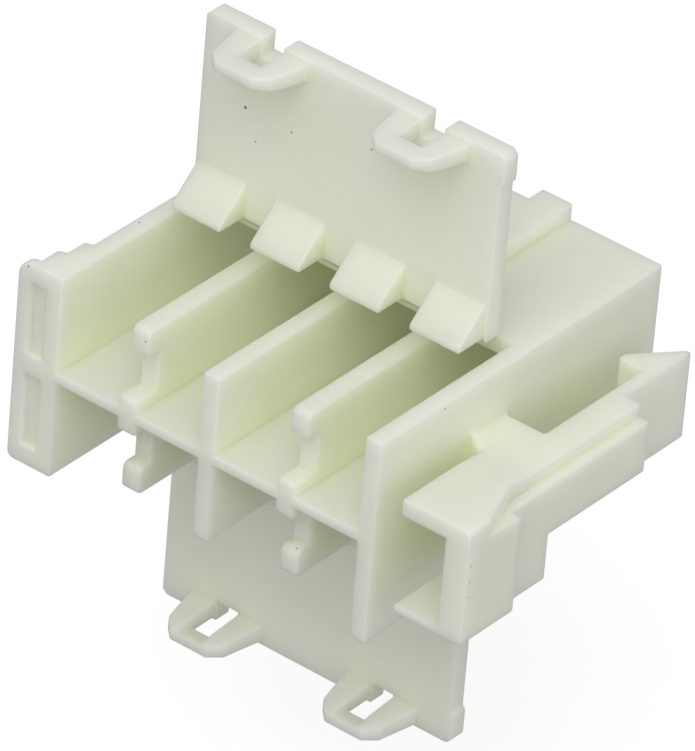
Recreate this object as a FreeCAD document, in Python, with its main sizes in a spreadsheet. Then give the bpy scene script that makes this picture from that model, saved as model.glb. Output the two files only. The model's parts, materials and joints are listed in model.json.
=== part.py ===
import FreeCAD, Part
import os
import re
import Sketcher

# A four-way cable connector housing moulded in one piece: an open comb of five
# walls, a closed rear body, two hinged covers and a side latch lever.
# The origin is the centre of the mating face. The wires come in from -Y, the
# latch lever is on the +X side and the covers stand along +Z and -Z.

SIZES = {
    # walls and rear body
    "pitch": 5.0,
    "wall": 1.0,
    "hook_wall": 1.12,
    "mid_plate": 0.6,
    "full_length": 22.1,
    "body_length": 10.8,
    "body_height": 11.76,
    "roof": 1.05,
    # hooks on the front of the two thin walls
    "nub_height": 1.05,
    "nub_radius": 0.3,
    "hook_undercut": 1.58,
    "hook_setback": 0.7,
    "hook_height": 1.57,
    "hook_radius": 0.4,
    # stepped finger grip on the left wall
    "grip_reach": 1.8,
    "grip_flange": 0.65,
    "grip_corner": 0.9,
    "grip_foot": 0.45,
    "grip_step": 0.45,
    "grip_run": 1.25,
    "grip_slope": 0.2,
    "core_width": 1.0,
    "core_depth": 0.4,
    "core_height": 4.15,
    "core_bar": 1.2,
    # raised key on the rear body
    "key_height": 0.92,
    "key_width": 9.6,
    "key_rail": 1.93,
    "key_setback": 1.25,
    "key_length": 8.1,
    # film hinges
    "film": 0.3,
    "film_bend": 0.6,
    "film_lead": 0.2,
    "film_width": 17.0,
    # hinged covers
    "cover_plate": 1.1,
    "cover_width": 18.46,
    "cover_inset": 0.5,
    "cover_setback": 0.18,
    "cover_bevel": 0.17,
    "ear_reach": 0.17,
    "ear_length": 1.9,
    "ear_corner": 0.3,
    "notch_width": 1.35,
    "notch_depth": 1.15,
    # catch loops on the covers
    "loop_gap": 0.19,
    "loop_leg": 0.4,
    "loop_cheek": 0.68,
    "loop_flare": 0.45,
    "loop_reach": 3.1,
    "loop_bar": 0.65,
    "loop_depth": 1.25,
    "loop_lip": 0.34,
    "loop_web": 0.9,
    "loop_root": 1.05,
    "loop_setback": 0.2,
    # wedges that press on the wires
    "wedge_width": 3.1,
    "wedge_reach": 1.9,
    "wedge_foot": 0.22,
    "wedge_nose": 0.35,
    "wedge_slope": 1.75,
    "wedge_radius": 0.15,
    # latch lever
    "lever_gap": 1.35,
    "lever_top": 3.3,
    "top_fall": 0.25,
    "pad_setback": 0.2,
    "pad_reach": 5.55,
    "pad_wall": 1.5,
    "pad_height": 6.75,
    "pad_front": 4.15,
    "pad_step": 0.65,
    "pad_length": 7.45,
    "pad_radius": 0.25,
    "pad_floor": 0.5,
    "beam_gap": 2.55,
    "beam_length": 15.0,
    "beam_plate": 0.76,
    "beam_drop": 2.07,
    "deck_width": 1.75,
    "deck": 1.02,
    "deck_front": 1.4,
    "deck_taper": 3.3,
    "deck_radius": 0.35,
    "rib_width": 2.35,
    "rib_drop": 0.75,
    # catch on the end of the lever
    "catch_place": 4.55,
    "catch_tip": 0.5,
    "catch_reach": 1.51,
    "catch_ramp": 2.45,
    "catch_end": 0.25,
    "catch_radius": 0.2,
    # bridge between the housing and the lever
    "bridge_front": 15.8,
    "bridge_back": 12.2,
    "bridge_slant": 1.0,
    "bridge_lip": 0.19,
}

doc = FreeCAD.newDocument("cable_connector")
sheet = doc.addObject("Spreadsheet::Sheet", "sizes")
for row, (alias, size) in enumerate(SIZES.items(), start=1):
    sheet.set(f"A{row}", alias)
    sheet.set(f"B{row}", str(size))
    sheet.setAlias(f"B{row}", alias)
doc.recompute()

# Sizes that follow from others, written once.
HALF_BODY = "(pitch * 2 + wall / 2)"
HALF_HEIGHT = "(body_height / 2)"
INNER_HEIGHT = "(body_height / 2 - roof)"
FRONT = "(0 - full_length)"
HINGE_Y = "(0 - body_length - film_lead)"
HINGE_Z = "(body_height / 2 + film_bend)"
COVER_FACE = "(0 - body_length - film_lead - cover_inset - cover_plate)"
COVER_END = "(body_height / 2 + film_bend + full_length - body_length - film_lead - cover_setback)"
LEVER_X = "(pitch * 2 + wall / 2 + beam_gap)"
PAD_X = "(pitch * 2 + wall / 2 + pad_reach)"


def bound(text):
    """Return an expression with each size name pointed at the sheet."""
    return re.sub(r"[a-z_]{3,}", lambda name: "sizes." + name.group(), str(text))


def value(text):
    """Return the present value of an expression."""
    return float(sheet.evalExpression(bound(text)))


def plane(body, role):
    """Return one of the body's own origin planes."""
    return next(item for item in body.Origin.OriginFeatures if item.Role == role)


def new_body(name):
    """Return an empty body whose label names its file."""
    body = doc.addObject("PartDesign::Body", name)
    body.Label = name
    body.Placement = FreeCAD.Placement()
    return body


def box(left, right, low, high):
    """Return the corners of an upright rectangle."""
    return [(left, low), (right, low), (right, high), (left, high)]


def sketch(body, name, role, offset, outlines, lift=0):
    """Return a sketch of closed outlines whose corners are bound to the sheet."""
    item = body.newObject("Sketcher::SketchObject", name)
    item.AttachmentSupport = (plane(body, role), [""])
    item.MapMode = "FlatFace"
    item.setExpression("AttachmentOffset.Base.z", bound(offset))
    item.setExpression("AttachmentOffset.Base.y", bound(lift))
    for corners in outlines:
        points = [FreeCAD.Vector(value(across), value(up), 0) for across, up in corners]
        first = item.GeometryCount
        count = len(points)
        for step in range(count):
            line = Part.LineSegment(points[step], points[(step + 1) % count])
            item.addGeometry(line)
        for step in range(count):
            following = first + (step + 1) % count
            joined = Sketcher.Constraint("Coincident", first + step, 2, following, 1)
            item.addConstraint(joined)
        for step, (across, up) in enumerate(corners):
            for kind, text, size in (
                ("DistanceX", across, points[step].x),
                ("DistanceY", up, points[step].y),
            ):
                held = Sketcher.Constraint(kind, -1, 1, first + step, 1, size)
                index = item.addConstraint(held)
                item.setExpression(f"Constraints[{index}]", bound(text))
    return item


def flip(side, corners):
    """Return corners on the upper side, or mirrored to the lower one."""
    return [(across, f"{side}({up})") for across, up in corners]


def volume(body):
    """Return the body's present volume."""
    doc.recompute()
    return body.Shape.Volume


def pad(body, name, profile, length):
    """Pad a sketch along its normal."""
    before = volume(body) if body.Tip else 0.0
    item = body.newObject("PartDesign::Pad", name)
    item.Profile = profile
    item.setExpression("Length", bound(length))
    body.Tip = item
    if volume(body) <= before:
        raise RuntimeError(name + " adds nothing")
    return item


def pocket(body, name, profile, length):
    """Cut a sketch into the body against its normal."""
    before = volume(body)
    item = body.newObject("PartDesign::Pocket", name)
    item.Profile = profile
    item.setExpression("Length", bound(length))
    body.Tip = item
    if volume(body) >= before:
        raise RuntimeError(name + " cuts nothing")
    return item


def mirrored(body, name, originals, role):
    """Mirror features in one of the body's origin planes."""
    item = body.newObject("PartDesign::Mirrored", name)
    item.Originals = originals
    item.MirrorPlane = (plane(body, role), [""])
    body.Tip = item
    doc.recompute()
    return item


def dress(body, kind, name, size, chosen):
    """Fillet or chamfer the edges of the body that a test chooses."""
    base = body.Tip
    doc.recompute()
    edges = [
        f"Edge{index}"
        for index, edge in enumerate(base.Shape.Edges, start=1)
        if chosen(edge)
    ]
    if not edges:
        raise RuntimeError(name + " finds no edge")
    item = body.newObject(kind, name)
    item.Base = (base, edges)
    item.setExpression("Size" if kind.endswith("Chamfer") else "Radius", bound(size))
    body.Tip = item
    doc.recompute()
    return item


def ends(edge):
    """Return the lowest and highest corner of a straight edge's box."""
    space = edge.BoundBox
    return (
        FreeCAD.Vector(space.XMin, space.YMin, space.ZMin),
        FreeCAD.Vector(space.XMax, space.YMax, space.ZMax),
    )


def along(edge, axis):
    """Tell whether a straight edge runs along an axis, 0 to 2."""
    if edge.Curve.TypeId != "Part::GeomLine":
        return False
    low, high = ends(edge)
    return all(abs(high[other] - low[other]) < 1e-4 for other in range(3) if other != axis)


def near(one, other):
    """Tell whether two lengths are the same."""
    return abs(one - other) < 1e-4


# The housing: a blank, opened along its channels and in front of the body.
housing = new_body("housing")
blank = sketch(
    housing,
    "housing_blank",
    "XZ_Plane",
    0,
    [box(f"0 - {HALF_BODY}", HALF_BODY, f"0 - {HALF_HEIGHT}", HALF_HEIGHT)],
)
pad(housing, "blank", blank, "full_length")
bay_half = f"({HALF_BODY} - wall)"
bays = sketch(
    housing,
    "housing_bays",
    "XZ_Plane",
    "full_length",
    [
        box(f"0 - {bay_half}", bay_half, INNER_HEIGHT, HALF_HEIGHT),
        box(f"0 - {bay_half}", bay_half, f"0 - {HALF_HEIGHT}", f"0 - {INNER_HEIGHT}"),
    ],
)
pocket(housing, "bays", bays, "full_length - body_length")
slots = []
for way in (-2, -1, 0, 1):
    left_wall = "hook_wall" if way % 2 else "wall"
    right_wall = "wall" if way % 2 else "hook_wall"
    left = f"pitch * ({way}) + {left_wall} / 2"
    right = f"pitch * ({way + 1}) - {right_wall} / 2"
    slots.append(box(left, right, "mid_plate / 2", INNER_HEIGHT))
    slots.append(box(left, right, f"0 - {INNER_HEIGHT}", "0 - mid_plate / 2"))
channels = sketch(housing, "housing_channels", "XZ_Plane", "full_length", slots)
pocket(housing, "channels", channels, "full_length")

# The two thin walls end in a nub and two hook feet, cut from the side.
notch = [
    (FRONT, "nub_height"),
    (f"{FRONT} + hook_undercut", "nub_height"),
    (f"{FRONT} + hook_undercut", f"{INNER_HEIGHT} - hook_height"),
    (f"{FRONT} + hook_setback", f"{INNER_HEIGHT} - hook_height"),
    (f"{FRONT} + hook_setback", HALF_HEIGHT),
    (FRONT, HALF_HEIGHT),
]
notches = [flip(side, notch) for side in ("", "0 - ")]
hooks = sketch(housing, "housing_hooks", "YZ_Plane", "pitch * 1.5", notches)
right_hook = pocket(housing, "right_hook", hooks, "pitch")
mirrored(housing, "left_hook", [right_hook], "YZ_Plane")


def hook_edge(edge):
    """Choose the front edges of the hook feet."""
    middle = edge.CenterOfMass
    in_wall = near(abs(middle.x), value("pitch"))
    return along(edge, 0) and in_wall and near(middle.y, value(f"{FRONT} + hook_setback"))


def nub_edge(edge):
    """Choose the outer front edges of the nubs."""
    middle = edge.CenterOfMass
    in_wall = near(abs(middle.x), value("pitch"))
    at_nub = near(abs(middle.z), value("nub_height"))
    return along(edge, 0) and in_wall and at_nub and near(middle.y, value(FRONT))


dress(housing, "PartDesign::Fillet", "hook_rounds", "hook_radius", hook_edge)
dress(housing, "PartDesign::Fillet", "nub_rounds", "nub_radius", nub_edge)

# The finger grip steps down from a flange to the wall.
GRIP_X = f"(0 - {HALF_BODY} - grip_reach)"
GRIP_Y = f"({FRONT} + grip_flange)"
grip_plan = [
    (GRIP_X, FRONT),
    (f"0 - {HALF_BODY}", FRONT),
    (f"0 - {HALF_BODY}", f"{GRIP_Y} + grip_run * 2 + grip_slope * 2"),
    (f"0 - {HALF_BODY} - grip_step", f"{GRIP_Y} + grip_run * 2 + grip_slope"),
    (f"0 - {HALF_BODY} - grip_step", f"{GRIP_Y} + grip_run + grip_slope"),
    (f"0 - {HALF_BODY} - grip_step * 2", f"{GRIP_Y} + grip_run"),
    (f"0 - {HALF_BODY} - grip_step * 2", GRIP_Y),
    (GRIP_X, GRIP_Y),
]
grip = sketch(housing, "housing_grip", "XY_Plane", f"0 - {HALF_HEIGHT}", [grip_plan])
pad(housing, "grip", grip, "body_height")


def grip_head_edge(edge):
    """Choose the flange's upper outer corner, seen from the front."""
    middle = edge.CenterOfMass
    return along(edge, 1) and near(middle.x, value(GRIP_X)) and middle.z > 0


def grip_foot_edge(edge):
    """Choose the flange's lower outer corner, seen from the front."""
    middle = edge.CenterOfMass
    return along(edge, 1) and near(middle.x, value(GRIP_X)) and middle.z < 0


dress(housing, "PartDesign::Fillet", "grip_head_round", "grip_corner", grip_head_edge)
dress(housing, "PartDesign::Fillet", "grip_foot_round", "grip_foot", grip_foot_edge)
core = box(
    f"0 - {HALF_BODY} - core_width",
    f"0 - {HALF_BODY}",
    "core_bar / 2",
    "core_bar / 2 + core_height",
)
both_cores = [flip(side, core) for side in ("", "0 - ")]
cores = sketch(housing, "housing_cores", "XZ_Plane", "full_length", both_cores)
pocket(housing, "cores", cores, "core_depth")

# The key stands on the upper side only and reaches the mating face in two rails.
key_plan = [
    ("0 - key_width / 2", "0 - key_length"),
    ("key_width / 2", "0 - key_length"),
    ("key_width / 2", "0"),
    ("key_width / 2 - key_rail", "0"),
    ("key_width / 2 - key_rail", "0 - key_setback"),
    ("key_rail - key_width / 2", "0 - key_setback"),
    ("key_rail - key_width / 2", "0"),
    ("0 - key_width / 2", "0"),
]
key = sketch(housing, "housing_key", "XY_Plane", HALF_HEIGHT, [key_plan])
pad(housing, "key", key, "key_height")


def film_hinge(name, side):
    """Build the thin web that joins a cover to the rear body."""
    body = new_body(name)
    low = f"{HALF_HEIGHT} - film"
    web = box("0 - film_width / 2", "film_width / 2", low, HALF_HEIGHT)
    lead = sketch(body, name + "_lead", "XZ_Plane", "body_length", [flip(side, web)])
    pad(body, name + "_web", lead, "film_lead")
    arc = box("0 - film_width / 2", "film_width / 2", "0 - film_bend - film", "0 - film_bend")
    place = (f"0 - {HINGE_Y}", [flip(side, arc)], f"{side}{HINGE_Z}")
    section = sketch(body, name + "_section", "XZ_Plane", *place)
    turn = body.newObject("PartDesign::Revolution", name + "_bend")
    turn.Profile = section
    turn.ReferenceAxis = (section, ["H_Axis"])
    turn.Angle = 90
    turn.Reversed = side == ""
    body.Tip = turn
    doc.recompute()
    return body


def cover(name, side):
    """Build one hinged cover, standing open at right angles to the body."""
    body = new_body(name)
    end = COVER_END
    outline = [
        ("0 - cover_width / 2", HINGE_Z),
        ("cover_width / 2", HINGE_Z),
        ("cover_width / 2", f"{end} - ear_length"),
        ("cover_width / 2 + ear_reach", f"{end} - ear_length + ear_reach"),
        ("cover_width / 2 + ear_reach", f"{end} - ear_corner"),
        ("cover_width / 2 + ear_reach - ear_corner", end),
        ("pitch + notch_width / 2", end),
        ("pitch + notch_width / 2", f"{end} - notch_depth"),
        ("pitch - notch_width / 2", f"{end} - notch_depth"),
        ("pitch - notch_width / 2", end),
        ("notch_width / 2 - pitch", end),
        ("notch_width / 2 - pitch", f"{end} - notch_depth"),
        ("0 - pitch - notch_width / 2", f"{end} - notch_depth"),
        ("0 - pitch - notch_width / 2", end),
        ("ear_corner - cover_width / 2", end),
        ("0 - cover_width / 2", f"{end} - ear_corner"),
    ]
    place = f"0 - {COVER_FACE} - cover_plate"
    plate = sketch(body, name + "_outline", "XZ_Plane", place, [flip(side, outline)])
    pad(body, name + "_plate", plate, "cover_plate")

    def foot_edge(edge):
        """Choose the front edge of the hinged end."""
        middle = edge.CenterOfMass
        at_foot = near(abs(middle.z), value(HINGE_Z))
        return along(edge, 0) and at_foot and near(middle.y, value(COVER_FACE))

    dress(body, "PartDesign::Chamfer", name + "_bevel", "cover_bevel", foot_edge)

    # Each loop is a flared frame in plan, and its legs deepen towards the plate.
    hole = "(hook_wall / 2 + loop_gap)"
    leg = "(hook_wall / 2 + loop_gap + loop_leg)"
    bar = f"{COVER_FACE} - loop_reach"
    top = f"({end} - loop_setback)"
    frames = []
    for middle in ("pitch", "0 - pitch"):
        frames.append(
            [
                (f"{middle} - {leg}", bar),
                (f"{middle} + {leg}", bar),
                (f"{middle} + {leg} + loop_cheek", f"{bar} + loop_cheek"),
                (f"{middle} + {leg} + loop_cheek + loop_flare", COVER_FACE),
                (f"{middle} + {hole}", COVER_FACE),
                (f"{middle} + {hole}", f"{bar} + loop_depth"),
                (f"{middle} - {hole}", f"{bar} + loop_depth"),
                (f"{middle} - {hole}", COVER_FACE),
                (f"{middle} - {leg} - loop_cheek - loop_flare", COVER_FACE),
                (f"{middle} - {leg} - loop_cheek", f"{bar} + loop_cheek"),
            ]
        )
    low = f"0 - {top}" if side else f"{top} - loop_root"
    loops = sketch(body, name + "_loop_plan", "XY_Plane", low, frames)
    pad(body, name + "_loops", loops, "loop_root")
    under = [
        (bar, f"{top} - loop_bar"),
        (bar, f"{top} - loop_root"),
        (COVER_FACE, f"{top} - loop_root"),
        (f"{bar} + loop_depth", f"{top} - loop_web"),
    ]
    place = "cover_width / 2"
    slope = sketch(body, name + "_loop_side", "YZ_Plane", place, [flip(side, under)])
    pocket(body, name + "_loop_slope", slope, "cover_width")

    # Between its legs the bar thins to a lip, so that it swings past the hook.
    lip = [
        (bar, f"{top} - loop_bar"),
        (f"{bar} + loop_depth", f"{top} - loop_web"),
        (f"{bar} + loop_depth", f"{top} - loop_lip"),
    ]
    place = f"pitch - {hole}"
    lip_side = sketch(body, name + "_lip_side", "YZ_Plane", place, [flip(side, lip)])
    relief = body.newObject("PartDesign::Pocket", name + "_lip")
    relief.Profile = lip_side
    relief.setExpression("Length", bound(f"{hole} * 2"))
    relief.Reversed = True
    body.Tip = relief
    doc.recompute()
    mirrored(body, name + "_other_lip", [relief], "YZ_Plane")

    # One wedge for each way, in a row along the hinged end.
    wedge = [
        (COVER_FACE, f"{HINGE_Z} + wedge_foot"),
        (f"{COVER_FACE} - wedge_reach", f"{HINGE_Z} + wedge_foot"),
        (f"{COVER_FACE} - wedge_reach", f"{HINGE_Z} + wedge_foot + wedge_nose"),
        (COVER_FACE, f"{HINGE_Z} + wedge_foot + wedge_nose + wedge_slope"),
    ]
    place = "0 - pitch * 1.5 - wedge_width / 2"
    side_view = sketch(body, name + "_wedge_side", "YZ_Plane", place, [flip(side, wedge)])
    first = pad(body, name + "_wedge", side_view, "wedge_width")
    row = body.newObject("PartDesign::LinearPattern", name + "_wedges")
    row.Originals = [first]
    row.Direction = (plane(body, "X_Axis"), [""])
    row.Occurrences = 4
    row.setExpression("Length", bound("pitch * 3"))
    body.Tip = row
    doc.recompute()

    def nose_edge(edge):
        """Choose the front edges of the wedges."""
        middle = edge.CenterOfMass
        return along(edge, 0) and near(middle.y, value(f"{COVER_FACE} - wedge_reach"))

    dress(body, "PartDesign::Fillet", name + "_noses", "wedge_radius", nose_edge)
    return body


upper_film_hinge = film_hinge("upper_film_hinge", "")
lower_film_hinge = film_hinge("lower_film_hinge", "0 - ")
upper_cover = cover("upper_cover", "")
lower_cover = cover("lower_cover", "0 - ")

# The lever: a hollow finger pad in front, a ribbed beam and a catch at the end.
lever = new_body("latch_lever")
ARM_X = f"({HALF_BODY} + lever_gap)"
PAD_Y = f"({FRONT} + pad_setback)"
STEP_Y = f"({FRONT} + pad_setback + pad_front)"
DECK_Z = "(lever_top - deck)"
DECK_X = f"({LEVER_X} + deck_width)"
PAD_LOW = "(0 - pad_height / 2)"
for name, outer, start, length in (
    ("pad_front", PAD_X, STEP_Y, "pad_front"),
    ("pad_rear", f"({PAD_X} - pad_step)", "(0 - bridge_front)", f"0 - bridge_front - {STEP_Y}"),
):
    section = [
        (ARM_X, PAD_LOW),
        (outer, PAD_LOW),
        (outer, DECK_Z),
        (f"{PAD_X} - pad_wall", DECK_Z),
        (f"{PAD_X} - pad_wall", f"{PAD_LOW} + pad_floor"),
        (ARM_X, f"{PAD_LOW} + pad_floor"),
    ]
    profile = sketch(lever, name + "_section", "XZ_Plane", f"0 - {start}", [section])
    pad(lever, name + "_shell", profile, length)
root = sketch(
    lever,
    "pad_root_section",
    "XZ_Plane",
    f"0 - {PAD_Y} - pad_length",
    [box(LEVER_X, f"{PAD_X} - pad_step", PAD_LOW, DECK_Z)],
)
pad(lever, "pad_root", root, f"bridge_front + {PAD_Y} + pad_length")
deck_plan = [
    (ARM_X, PAD_Y),
    (PAD_X, PAD_Y),
    (PAD_X, f"{PAD_Y} + deck_front"),
    (DECK_X, f"{PAD_Y} + deck_front + deck_taper"),
    (DECK_X, f"{PAD_Y} + beam_length"),
    (LEVER_X, f"{PAD_Y} + beam_length"),
    (LEVER_X, "0 - bridge_front"),
    (ARM_X, "0 - bridge_front"),
]
deck = sketch(lever, "deck_plan", "XY_Plane", DECK_Z, [deck_plan])
pad(lever, "deck", deck, "deck")
fall_plan = [
    (f"{PAD_Y} + pad_front", "lever_top"),
    (f"{PAD_Y} + pad_length", "lever_top - top_fall"),
    (f"{PAD_Y} + beam_length", "lever_top - top_fall"),
    (f"{PAD_Y} + beam_length", "lever_top"),
]
fall = sketch(lever, "deck_fall_side", "YZ_Plane", PAD_X, [fall_plan])
pocket(lever, "deck_fall", fall, "pad_reach")
rib = sketch(
    lever,
    "rib_section",
    "XZ_Plane",
    f"0 - {PAD_Y} - beam_length",
    [box(LEVER_X, f"{LEVER_X} + rib_width", "0 - rib_drop", DECK_Z)],
)
pad(lever, "rib", rib, "beam_length - pad_length")
beam = sketch(
    lever,
    "beam_section",
    "XZ_Plane",
    "catch_place",
    [box(LEVER_X, f"{LEVER_X} + beam_plate", "0 - beam_drop", "lever_top - top_fall")],
)
pad(lever, "beam", beam, f"0 - {PAD_Y} - pad_length - catch_place")
catch_plan = [
    (f"{LEVER_X} - catch_reach", "0 - catch_place"),
    (f"{LEVER_X} + beam_plate", "0 - catch_place"),
    (f"{LEVER_X} + beam_plate", "catch_tip + catch_ramp - catch_place"),
    (f"{LEVER_X} + beam_plate - catch_end", "catch_tip + catch_ramp - catch_place"),
    (f"{LEVER_X} - catch_reach", "catch_tip - catch_place"),
]
catch = sketch(lever, "catch_plan", "XY_Plane", "0 - beam_drop", [catch_plan])
pad(lever, "catch", catch, "beam_drop + lever_top - top_fall")


def pad_edge(edge):
    """Choose the long outer edge under the finger pad."""
    middle = edge.CenterOfMass
    return along(edge, 1) and near(middle.x, value(PAD_X)) and near(middle.z, value(PAD_LOW))


def top_edge(edge):
    """Choose the outer edges of the deck above the finger pad."""
    low, high = ends(edge)
    at_top = near(low.z, value("lever_top")) and near(high.z, value("lever_top"))
    return at_top and near(edge.CenterOfMass.x, value(PAD_X))


def catch_edge(edge):
    """Choose the tip of the catch."""
    middle = edge.CenterOfMass
    return along(edge, 2) and near(middle.x, value(f"{LEVER_X} - catch_reach"))


dress(lever, "PartDesign::Fillet", "pad_round", "pad_radius", pad_edge)
dress(lever, "PartDesign::Fillet", "deck_round", "deck_radius", top_edge)
dress(lever, "PartDesign::Fillet", "catch_round", "catch_radius", catch_edge)

# The bridge carries the lever on the housing wall and twists as the lever tips.
bridge = new_body("latch_bridge")
bridge_plan = [
    (HALF_BODY, "0 - bridge_back"),
    (LEVER_X, "0 - bridge_back"),
    (LEVER_X, "0 - bridge_front"),
    (f"{ARM_X} - bridge_lip", "0 - bridge_front"),
    (HALF_BODY, "bridge_slant - bridge_front"),
]
BRIDGE_TOP = "(lever_top - top_fall)"
web = sketch(bridge, "bridge_plan", "XY_Plane", f"0 - {BRIDGE_TOP}", [bridge_plan])
pad(bridge, "bridge", web, f"{BRIDGE_TOP} * 2")

doc.recompute()
for item in doc.Objects:
    if {"Invalid", "Error"} & set(item.State):
        raise RuntimeError(item.Name + " failed: " + str(item.State))
pieces = [item for item in doc.Objects if item.TypeId == "PartDesign::Body"]
for piece in pieces:
    if piece.Shape.isNull() or not piece.Shape.isValid() or len(piece.Shape.Solids) != 1:
        raise RuntimeError(piece.Label + " isn't one valid solid")
os.makedirs("parts", exist_ok=True)
for piece in pieces:
    piece.Shape.exportStep(f"parts/{piece.Label}.step")
    space = piece.Shape.BoundBox
    print(f"{piece.Label}: {piece.Shape.Volume:.1f} mm3, {space.XLength:.2f} x "
          f"{space.YLength:.2f} x {space.ZLength:.2f} mm")
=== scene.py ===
# %% [markdown]
# ## A cable connector in natural plastic
# The part is a small moulded housing with open wire channels, two covers on
# film hinges and a latch lever. The solids give every size. This lesson gives
# them soft moulded edges, a cloudy plastic, bent hinge webs and a studio.
# Blender counts in metres, so sizes in millimetres are multiplied by MM.

# %% Load the solids
import bmesh
import bpy
import json
import math
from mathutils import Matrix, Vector


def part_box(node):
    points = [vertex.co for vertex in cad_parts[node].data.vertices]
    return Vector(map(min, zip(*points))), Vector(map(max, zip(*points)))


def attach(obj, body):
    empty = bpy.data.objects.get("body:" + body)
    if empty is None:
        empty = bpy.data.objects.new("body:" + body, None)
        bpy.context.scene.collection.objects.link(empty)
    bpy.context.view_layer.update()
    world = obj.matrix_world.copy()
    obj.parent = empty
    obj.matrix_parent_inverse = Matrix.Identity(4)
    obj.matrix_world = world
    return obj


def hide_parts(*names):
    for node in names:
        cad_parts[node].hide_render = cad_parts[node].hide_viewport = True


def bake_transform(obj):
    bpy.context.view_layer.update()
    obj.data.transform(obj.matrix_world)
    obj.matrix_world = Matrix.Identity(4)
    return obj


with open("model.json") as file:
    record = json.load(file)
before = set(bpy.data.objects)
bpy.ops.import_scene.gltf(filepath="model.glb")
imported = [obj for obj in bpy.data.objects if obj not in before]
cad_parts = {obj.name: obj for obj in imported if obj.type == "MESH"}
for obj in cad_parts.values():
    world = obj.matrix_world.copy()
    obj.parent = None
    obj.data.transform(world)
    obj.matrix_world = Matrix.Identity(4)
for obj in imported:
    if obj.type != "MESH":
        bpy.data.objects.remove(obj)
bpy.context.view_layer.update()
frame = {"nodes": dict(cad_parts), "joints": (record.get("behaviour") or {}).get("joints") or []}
MM = 0.001


def box_mm(node):
    """Return the lowest and the highest corner of a solid, in mm."""
    low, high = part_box(node)
    return low / MM, high / MM


def joint_mm(name):
    """Return the place of a joint, in mm."""
    joint = next(joint for joint in frame["joints"] if joint["name"] == name)
    return Vector(joint["pos_m"]) / MM


# %% [markdown]
# ### The burnt specks
# A few dark specks of burnt resin are shut in under the skin. Small discs could
# be laid on the part for them, but they would stand proud of it. Here each
# speck is a point with a radius. The shader measures how far it is from each
# point, and turns dark inside the nearest one, so the specks need no pieces.

# %% Place the burnt specks
# Each speck has a place and a radius in mm, and is fully dark in its core.
SPECKS = (
    ((-6.38, -12.60, 12.99), 0.105),
    ((-5.60, -12.60, 11.37), 0.060),
    ((-3.46, -12.60, 12.89), 0.065),
    ((1.43, -12.60, 14.17), 0.065),
    ((-11.66, -22.10, 5.64), 0.070),
    ((-10.11, -15.52, 5.88), 0.060),
    ((-4.68, -21.40, 4.23), 0.065),
    ((10.50, -17.16, 5.59), 0.065),
    ((16.05, -21.66, 1.31), 0.060),
    ((16.05, -21.61, 0.28), 0.050),
    ((16.05, -21.50, -0.59), 0.050),
    ((5.25, -21.11, -3.28), 0.060),
)
DARK_CORE = 0.45


def speck_mask(nodes, links, place):
    """Return a socket that is 1 inside a speck and 0 elsewhere."""
    darkest = None
    for spot, radius in SPECKS:
        reach = nodes.new("ShaderNodeVectorMath")
        reach.operation = "DISTANCE"
        reach.inputs[1].default_value = Vector(spot) * MM
        links.new(place, reach.inputs[0])
        inside = nodes.new("ShaderNodeMapRange")
        inside.inputs["From Min"].default_value = radius * MM
        inside.inputs["From Max"].default_value = radius * DARK_CORE * MM
        links.new(reach.outputs["Value"], inside.inputs["Value"])
        if darkest is None:
            darkest = inside.outputs["Result"]
            continue
        either = nodes.new("ShaderNodeMath")
        either.operation = "MAXIMUM"
        links.new(darkest, either.inputs[0])
        links.new(inside.outputs["Result"], either.inputs[1])
        darkest = either.outputs["Value"]
    return darkest


print("specks:", len(SPECKS))

# %% [markdown]
# ### The colour of the resin
# Natural resin is nearly white with a little less blue. Its colour wanders
# slowly where the melt has flowed, and a weak cloud of noise stands for that.
# Light in a deep slot has passed through more resin than a shader follows, so
# slots look more yellow-green. An ambient occlusion node measures how shut in a
# place is, wherever the camera stands, and leads over to a lighter, greener
# colour there: painted light that stands in for that glow through the resin.

# %% Cloud the resin
CLOUD_DARK = (0.82, 0.85, 0.715, 1)
CLOUD_LIGHT = (0.86, 0.885, 0.76, 1)
CLOUDS_PER_METRE = 220.0


def cloudy_colour(nodes, links, place):
    """Return the socket of a colour that wanders between two close tints."""
    cloud = nodes.new("ShaderNodeTexNoise")
    cloud.inputs["Scale"].default_value = CLOUDS_PER_METRE
    cloud.inputs["Detail"].default_value = 3.0
    tint = nodes.new("ShaderNodeValToRGB")
    dark, light = tint.color_ramp.elements
    dark.position, dark.color = 0.3, CLOUD_DARK
    light.position, light.color = 0.7, CLOUD_LIGHT
    links.new(place, cloud.inputs["Vector"])
    links.new(cloud.outputs["Fac"], tint.inputs["Fac"])
    return tint.outputs["Color"]


print("the cloud is", round(1 / (CLOUDS_PER_METRE * MM), 1), "mm wide")

# %% Paint light into the shut-in places
# The slot colour is painted light: a lighter yellow-green for light that has passed through the
# resin.
SLOT_PAINTED_GLOW = (0.90, 0.955, 0.71, 1)
SKY_REACH = 9.0
SHUT_IN, OPEN = 0.2, 0.8


def paint_slot_glow(nodes, links, colour):
    """Return the socket of a colour painted lighter and greener where the part is shut in, as
    painted light.
    """
    open_sky = nodes.new("ShaderNodeAmbientOcclusion")
    open_sky.samples = 6
    open_sky.inputs["Distance"].default_value = SKY_REACH * MM
    openness = nodes.new("ShaderNodeMapRange")
    openness.inputs["From Min"].default_value = SHUT_IN
    openness.inputs["From Max"].default_value = OPEN
    with_painted_glow = nodes.new("ShaderNodeMix")
    with_painted_glow.data_type = "RGBA"
    with_painted_glow.inputs["A"].default_value = SLOT_PAINTED_GLOW
    links.new(open_sky.outputs["AO"], openness.inputs["Value"])
    links.new(openness.outputs["Result"], with_painted_glow.inputs["Factor"])
    links.new(colour, with_painted_glow.inputs["B"])
    return with_painted_glow.outputs["Result"]


print("a place counts as shut in by what is within", SKY_REACH, "mm")

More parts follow.
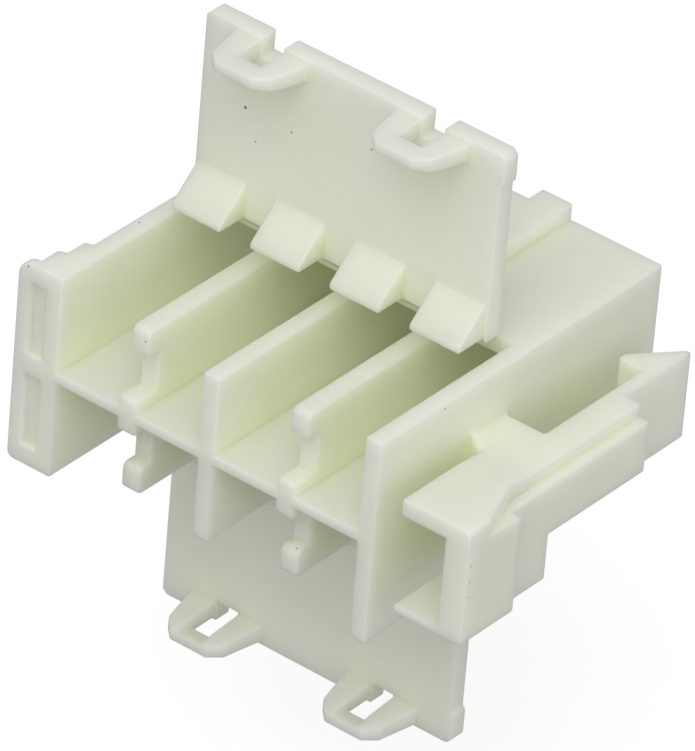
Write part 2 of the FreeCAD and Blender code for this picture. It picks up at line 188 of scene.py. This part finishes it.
# %% [markdown]
# ### The plastic
# Natural polyamide lets light in a little way and gives it back softly, so thin
# edges glow. A plain diffuse shader would look like chalk, and a glass shader
# like a jelly. Subsurface scattering does the same thing as the real resin: it
# moves the light sideways under the skin. All three colours move equally far,
# because unequal radii leave coloured rims on thin walls. A fine bump gives the
# satin surface that a spark-eroded mould leaves.

# %% Make the plastic
SCATTER_DEPTH = 2.0
GRAINS_PER_METRE = 5200.0
GRAIN_DEPTH = 0.02
BURNT = (0.11, 0.10, 0.075, 1)


def satin_grain(nodes, links, place):
    """Return the socket of a normal with a fine grain."""
    grain = nodes.new("ShaderNodeTexNoise")
    grain.inputs["Scale"].default_value = GRAINS_PER_METRE
    grain.inputs["Detail"].default_value = 2.0
    bump = nodes.new("ShaderNodeBump")
    bump.inputs["Strength"].default_value = 0.25
    bump.inputs["Distance"].default_value = GRAIN_DEPTH * MM
    links.new(place, grain.inputs["Vector"])
    links.new(grain.outputs["Fac"], bump.inputs["Height"])
    return bump.outputs["Normal"]


def make_plastic():
    """Return the cloudy off-white plastic of the whole part."""
    material = bpy.data.materials.new("natural_polyamide")
    material.use_nodes = True
    nodes, links = material.node_tree.nodes, material.node_tree.links
    shader = nodes["Principled BSDF"]
    shader.inputs["Roughness"].default_value = 0.48
    shader.inputs["IOR"].default_value = 1.53
    shader.inputs["Subsurface Weight"].default_value = 1.0
    shader.inputs["Subsurface Radius"].default_value = (1.0, 1.0, 1.0)
    shader.inputs["Subsurface Scale"].default_value = SCATTER_DEPTH * MM
    place = nodes.new("ShaderNodeTexCoord").outputs["Object"]
    # The colour gets painted light, lighter and greener, in the shut-in places.
    colour = paint_slot_glow(nodes, links, cloudy_colour(nodes, links, place))
    skin = nodes.new("ShaderNodeMix")
    skin.data_type = "RGBA"
    skin.inputs["B"].default_value = BURNT
    links.new(speck_mask(nodes, links, place), skin.inputs["Factor"])
    links.new(colour, skin.inputs["A"])
    links.new(skin.outputs["Result"], shader.inputs["Base Color"])
    links.new(satin_grain(nodes, links, place), shader.inputs["Normal"])
    return material


plastic = make_plastic()
print("plastic:", plastic.name)

# %% [markdown]
# ### One moulding
# The housing, the lever and the bridge between them leave the mould in one
# piece, so nothing marks where one ends. Three solids side by side would show a
# seam, because light that enters one can't pass into the next. A boolean joins
# copies of them into one skin. The copy of the bridge first gets a top that
# follows the fall of the lever's deck.

# %% Copy a solid
WELD = 0.002


def copy_of(node):
    """Return an editable mesh of a solid."""
    work = bmesh.new()
    work.from_mesh(frame["nodes"][node].data)
    bmesh.ops.remove_doubles(work, verts=work.verts, dist=WELD * MM)
    return work


print("points within", WELD, "mm of each other are welded")

# %% Slope the top of the bridge
# The deck falls over FALL_LENGTH from the lever's top to the bridge's top, and
# is level past FALL_END.
FALL_END, FALL_LENGTH = -14.45, 3.3
TOP_REACH = 0.1

bridge_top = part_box("latch_bridge")[1].z
fall_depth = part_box("latch_lever")[1].z - bridge_top


def follow_deck(work):
    """Cut the top of the bridge and lift it to the slope of the deck."""
    bmesh.ops.bisect_plane(
        work,
        geom=work.verts[:] + work.edges[:] + work.faces[:],
        plane_co=Vector((0, FALL_END, 0)) * MM,
        plane_no=(0, 1, 0),
    )
    for vert in work.verts:
        if vert.co.z > bridge_top - TOP_REACH * MM:
            gone = (FALL_END - vert.co.y / MM) / FALL_LENGTH
            vert.co.z = bridge_top + fall_depth * min(max(gone, 0.0), 1.0)


print("the deck falls by", round(fall_depth / MM, 2), "mm over", FALL_LENGTH, "mm")

# %% Join the housing and the lever
def join_solids(nodes):
    """Return one mesh of several touching solids."""
    parts = []
    for node in nodes:
        work = copy_of(node)
        if node == "latch_bridge":
            follow_deck(work)
        mesh = bpy.data.meshes.new(node + "_part")
        work.to_mesh(mesh)
        work.free()
        part = bpy.data.objects.new(node + "_part", mesh)
        bpy.context.scene.collection.objects.link(part)
        parts.append(part)
    whole = parts[0]
    for part in parts[1:]:
        union = whole.modifiers.new("union", "BOOLEAN")
        union.operation = "UNION"
        union.solver = "EXACT"
        union.object = part
    depsgraph = bpy.context.evaluated_depsgraph_get()
    mesh = bpy.data.meshes.new_from_object(whole.evaluated_get(depsgraph))
    for part in parts:
        bpy.data.objects.remove(part)
    work = bmesh.new()
    work.from_mesh(mesh)
    return work


moulding = join_solids(("housing", "latch_bridge", "latch_lever"))
print("the joined moulding has", len(moulding.faces), "faces")

# %% [markdown]
# ### Soft edges
# No moulded edge is sharp: the mould's cutter leaves a radius on each. The
# solids have the large radii, and the small ones are laid on the copies with a
# bevel. First each copy is cleaned. Triangles in one plane are joined into one
# face, and a face with an inward corner is split again into faces without one,
# because a bevel folds such a face over itself.

# %% Clean the faces of a copy
ONE_PLANE = math.radians(1.0)


def clean(work):
    """Join the triangles of each flat face, and leave no inward corners."""
    bmesh.ops.remove_doubles(work, verts=work.verts, dist=WELD * MM)
    bmesh.ops.dissolve_limit(
        work,
        angle_limit=ONE_PLANE,
        verts=work.verts,
        edges=work.edges,
    )
    bmesh.ops.connect_verts_concave(work, faces=work.faces)


print("faces within", round(math.degrees(ONE_PLANE)), "degree are one plane")

# %% [markdown]
# Wedges, loops and lips stand close together, so one width for all edges would
# run into the next edge. A bevel can take its width from each edge's own
# weight. The helper below walks from the middle of an edge straight across the
# faces beside it, and measures how far it comes before the next real edge.

# %% Measure the room beside an edge
FLAT_ANGLE = math.radians(1.5)
MOST_FACES = 40


def crossing(face, behind, start, course, inward):
    """Return how far away a walk over a face leaves it, and through which edge."""
    found = None
    for edge in face.edges:
        if edge is behind:
            continue
        one, other = (vert.co - start for vert in edge.verts)
        left, right = one.dot(course), other.dot(course)
        if (left > 0) == (right > 0):
            continue
        place = one + (other - one) * (left / (left - right))
        gone = place.dot(inward)
        if gone > 0 and (found is None or gone < found[0]):
            found = (gone, edge)
    return found


def room_beside(edge):
    """Return how wide the narrower of the two faces beside an edge is."""
    start = (edge.verts[0].co + edge.verts[1].co) / 2
    narrowest = math.inf
    for loop in edge.link_loops:
        face, behind = loop.face, edge
        course = (loop.link_loop_next.vert.co - loop.vert.co).normalized()
        inward = face.normal.cross(course)
        gone = None
        for _ in range(MOST_FACES):
            found = crossing(face, behind, start, course, inward)
            if found is None:
                break
            gone, behind = found
            if behind.calc_face_angle(math.pi) > FLAT_ANGLE:
                break
            face = next(other for other in behind.link_faces if other is not face)
        if gone is not None:
            narrowest = min(narrowest, gone)
    return narrowest


print("a walk ends at a bend of over", round(math.degrees(FLAT_ANGLE), 1), "degrees")

# %% Weigh the edges
EDGE_ANGLE = math.radians(28)
ROOM_SHARE = 0.3
INWARD_SHARE = 0.55
LEAST_WEIGHT = 0.02


def weigh_edges(work, width, most_at):
    """Give each sharp edge the share of the bevel width that it has room for."""
    layer = work.edges.layers.float.new("bevel_weight_edge")
    for edge in work.edges:
        if edge.calc_face_angle(0.0) < EDGE_ANGLE:
            continue
        middle = (edge.verts[0].co + edge.verts[1].co) / 2 / MM
        most = most_at(middle)
        weight = min(most, ROOM_SHARE * room_beside(edge) / (width * MM))
        if not edge.is_convex and most < 1.0:
            weight = weight * INWARD_SHARE
        edge[layer] = weight if weight > LEAST_WEIGHT else 0.0


print("an edge is rounded above", round(math.degrees(EDGE_ANGLE)), "degrees")

# %% [markdown]
# The bevel stays a live modifier, so the mesh below it keeps few points, and a
# weighted normal modifier after it keeps the flat faces flat to the light. The
# covers are separate pieces that swing, so each is softened by itself.

# %% Soften the covers
ROUND_STEPS = 3
COVER_ROUNDING = 0.12


def soften(name, work, width, most_at):
    """Return a piece whose sharp edges are rounded."""
    clean(work)
    weigh_edges(work, width, most_at)
    mesh = bpy.data.meshes.new(name)
    work.to_mesh(mesh)
    work.free()
    piece = bpy.data.objects.new(name, mesh)
    bpy.context.scene.collection.objects.link(piece)
    bevel = piece.modifiers.new("soft_edges", "BEVEL")
    bevel.width = width * MM
    bevel.segments = ROUND_STEPS
    bevel.limit_method = "WEIGHT"
    bevel.use_clamp_overlap = False
    bevel.loop_slide = False
    normal = piece.modifiers.new("face_normals", "WEIGHTED_NORMAL")
    normal.keep_sharp = False
    mesh.shade_smooth()
    mesh.materials.clear()
    mesh.materials.append(plastic)
    print(name, "faces before the bevel:", len(mesh.polygons))
    return piece


def full_width(middle):
    """Let every edge take the whole bevel width."""
    return 1.0


for cover in ("upper_cover", "lower_cover"):
    piece = soften(cover + "_soft", copy_of(cover), COVER_ROUNDING, full_width)
    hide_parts(cover)
    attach(piece, cover)

# %% [markdown]
# ### The rounded bridge
# The bridge flows into the housing and the lever with wider roundings than the
# rest. So the joined moulding takes a wide bevel, and only the edges of the
# bridge use all of it. As the lever tips, the bridge twists.

# %% Round the moulding
MOULDING_ROUNDING = 0.3
OTHER_SHARE = 0.5
# The bridge's box is widened by BESIDE_X and moved back by BEHIND_Y, so the
# edges at its front end take the share too.
BESIDE_X, BEHIND_Y = 0.05, 0.1

bridge_low, bridge_high = box_mm("latch_bridge")


def wide_on_bridge(middle):
    """Let edges on the bridge take the whole bevel width, and others a share."""
    in_x = bridge_low.x - BESIDE_X < middle.x < bridge_high.x + BESIDE_X
    in_y = bridge_low.y + BEHIND_Y < middle.y < bridge_high.y + BEHIND_Y
    return 1.0 if in_x and in_y else OTHER_SHARE


body = soften("housing_and_lever", moulding, MOULDING_ROUNDING, wide_on_bridge)
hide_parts("housing", "latch_bridge", "latch_lever")
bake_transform(body)

# %% [markdown]
# ### The hinge webs
# Each cover hangs on a thin web that is moulded as a quarter bend and wraps
# round its own centre as the cover closes. A web has to bend evenly, so it is
# lofted through many rounded sections, and its ends reach a little way into the
# solids that hold it.

# %% Loft a web through rounded sections
CORNER_POINTS = 4


def rounded_section(centre, side, rise, half_side, half_rise, radius):
    """Return the points of a rounded rectangle in space."""
    points = []
    for quarter in range(4):
        turn = quarter * math.pi / 2
        along = half_side - radius
        up = half_rise - radius
        if quarter in (1, 2):
            along = -along
        if quarter in (2, 3):
            up = -up
        for step in range(CORNER_POINTS):
            angle = turn + step * math.pi / 2 / (CORNER_POINTS - 1)
            across = along + radius * math.cos(angle)
            height = up + radius * math.sin(angle)
            points.append(centre + side * across + rise * height)
    return points


def loft(name, sections):
    """Return a closed mesh piece through a row of sections."""
    work = bmesh.new()
    rings = [[work.verts.new(point) for point in ring] for ring in sections]
    count = len(rings[0])
    for one, other in zip(rings, rings[1:]):
        for step in range(count):
            after = (step + 1) % count
            work.faces.new((one[step], one[after], other[after], other[step]))
    work.faces.new(list(reversed(rings[0])))
    work.faces.new(rings[-1])
    bmesh.ops.recalc_face_normals(work, faces=work.faces)
    mesh = bpy.data.meshes.new(name)
    work.to_mesh(mesh)
    work.free()
    mesh.shade_smooth()
    mesh.materials.append(plastic)
    piece = bpy.data.objects.new(name, mesh)
    bpy.context.scene.collection.objects.link(piece)
    print(name, "has", len(sections), "sections")
    return piece


# %% Lay the path of a web
# The web lies WEB_INSET inside the solid that it stands for. Two sections root
# it in the housing, and the last one reaches into the cover.
WEB_INSET = 0.01
WEB_THICKNESS = 0.28
ROOT_REACHES = (0.5, 0.2)
TIP_REACH = 0.3
BEND_STEPS = 18

hinge = joint_mm("upper_cover_hinge")
film_low, film_high = box_mm("upper_film_hinge")
web_outer = hinge.z - film_low.z - WEB_INSET
web_middle = web_outer - WEB_THICKNESS / 2


def web_path():
    """Return the centres and outward directions of the upper web's sections."""
    path = []
    for reach in ROOT_REACHES:
        root = Vector((0, hinge.y + reach, hinge.z - web_middle))
        path.append((root, Vector((0, 0, -1))))
    for step in range(BEND_STEPS + 1):
        turn = math.pi / 2 * step / BEND_STEPS
        outward = Vector((0, -math.sin(turn), -math.cos(turn)))
        path.append((Vector((0, hinge.y, hinge.z)) + outward * web_middle, outward))
    tip = Vector((0, hinge.y - web_middle, hinge.z + TIP_REACH))
    path.append((tip, Vector((0, -1, 0))))
    return path


print("the web's middle line has a radius of", round(web_middle, 2), "mm")

# %% Bend the two hinge webs
SIDE_INSET = 0.02
CORNER_RADIUS = 0.09


def hinge_web(film, side):
    """Lay a web from the housing's roof round the hinge into its cover."""
    half_side = film_high.x - SIDE_INSET
    half_rise = WEB_THICKNESS / 2
    sections = []
    for centre, outward in web_path():
        ring = rounded_section(
            centre, Vector((1, 0, 0)), outward, half_side, half_rise, CORNER_RADIUS
        )
        sections.append([Vector((p.x, p.y, p.z * side)) * MM for p in ring])
    piece = loft(film + "_web", sections)
    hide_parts(film)
    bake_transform(piece)


hinge_web("upper_film_hinge", 1)
hinge_web("lower_film_hinge", -1)

# %% [markdown]
# ### The floor
# The photograph shows the part alone on white. A white floor would need so much
# light to look white that the part's pale faces clip. Here the floor is grey to
# the light and adds a glow that only the camera sees, so it looks nearly white
# and keeps the part's soft shadow.

# %% Lay the floor
FLOOR_HEIGHT = -30.0
FLOOR_REACH = 3.0
FLOOR_GREY = (0.45, 0.45, 0.45, 1)
FLOOR_GLOW = 0.69


def floor_material():
    """Return a pale finish that shows shadows."""
    material = bpy.data.materials.new("pale_floor")
    material.use_nodes = True
    nodes, links = material.node_tree.nodes, material.node_tree.links
    nodes.clear()
    diffuse = nodes.new("ShaderNodeBsdfDiffuse")
    diffuse.inputs["Color"].default_value = FLOOR_GREY
    glow = nodes.new("ShaderNodeEmission")
    rays = nodes.new("ShaderNodeLightPath")
    seen = nodes.new("ShaderNodeMath")
    seen.operation = "MULTIPLY"
    seen.inputs[1].default_value = FLOOR_GLOW
    total = nodes.new("ShaderNodeAddShader")
    output = nodes.new("ShaderNodeOutputMaterial")
    links.new(rays.outputs["Is Camera Ray"], seen.inputs[0])
    links.new(seen.outputs["Value"], glow.inputs["Strength"])
    links.new(diffuse.outputs["BSDF"], total.inputs[0])
    links.new(glow.outputs["Emission"], total.inputs[1])
    links.new(total.outputs["Shader"], output.inputs["Surface"])
    return material


def make_floor(height, reach):
    """Lay a square floor at a height, both in metres."""
    mesh = bpy.data.meshes.new("floor")
    signs = ((-1, -1), (1, -1), (1, 1), (-1, 1))
    corners = [(x * reach, y * reach, height) for x, y in signs]
    mesh.from_pydata(corners, [], [(0, 1, 2, 3)])
    mesh.materials.append(floor_material())
    floor = bpy.data.objects.new("floor", mesh)
    bpy.context.scene.collection.objects.link(floor)


make_floor(FLOOR_HEIGHT * MM, FLOOR_REACH)
print("floor laid", -FLOOR_HEIGHT, "mm below the part's middle")

# %% [markdown]
# ### The light
# A translucent part shows its form by soft shade, so most of the light comes
# evenly from the world. One large lamp above the front gives the tops their
# lead over the sides, and a weak one opens up the shade on the lever's side.

# %% Set the light
WORLD_LIGHT = 0.57
MIDDLE = Vector((1, -11, 0)) * MM
LAMP_SIZE = 0.3


def make_world(strength):
    """Give even white light from all sides, and show the camera plain white."""
    world = bpy.data.worlds.new("studio")
    world.use_nodes = True
    nodes, links = world.node_tree.nodes, world.node_tree.links
    back = nodes["Background"]
    back.inputs["Color"].default_value = (1, 1, 1, 1)
    rays = nodes.new("ShaderNodeLightPath")
    level = nodes.new("ShaderNodeMapRange")
    level.inputs["To Min"].default_value = strength
    level.inputs["To Max"].default_value = 1.0
    links.new(rays.outputs["Is Camera Ray"], level.inputs["Value"])
    links.new(level.outputs["Result"], back.inputs["Strength"])
    bpy.context.scene.world = world


def make_lamp(name, place, power):
    """Hang a square soft lamp that faces the part."""
    lamp = bpy.data.lights.new(name, "AREA")
    lamp.shape = "SQUARE"
    lamp.size = LAMP_SIZE
    lamp.energy = power
    holder = bpy.data.objects.new(name, lamp)
    bpy.context.scene.collection.objects.link(holder)
    holder.location = place
    aim = MIDDLE - Vector(place)
    holder.rotation_euler = aim.to_track_quat("-Z", "Y").to_euler()


make_world(WORLD_LIGHT)
make_lamp("key", place=(0.13, -0.27, 0.36), power=0.78)
make_lamp("side", place=(0.42, -0.10, 0.12), power=0.2)
print("light set")

# %% [markdown]
# ### The camera
# The photograph looks down on the part from its front right, through a long
# lens. A camera without a turn looks straight down, so it is tilted up about X,
# rolled a little about Y and then turned about Z. Its place and angles make the
# corners of the walls fall where the photograph shows them.

# %% Point the camera
CAMERA_PLACE = (0.273948, -0.385242, 0.31133)
TILT, ROLL, HEADING = 55.9842, -4.1337, 38.9899
LENS, SENSOR = 544.18, 36.0


def make_camera():
    """Look at the part from the photograph's angle."""
    camera = bpy.data.cameras.new("camera")
    camera.sensor_width = SENSOR
    camera.lens = LENS
    camera.clip_start = 0.01
    camera.clip_end = 20.0
    holder = bpy.data.objects.new("camera", camera)
    bpy.context.scene.collection.objects.link(holder)
    holder.location = CAMERA_PLACE
    holder.rotation_euler = [math.radians(angle) for angle in (TILT, ROLL, HEADING)]
    bpy.context.scene.camera = holder


make_camera()
bpy.context.scene.view_settings.view_transform = "Standard"
print("camera set")
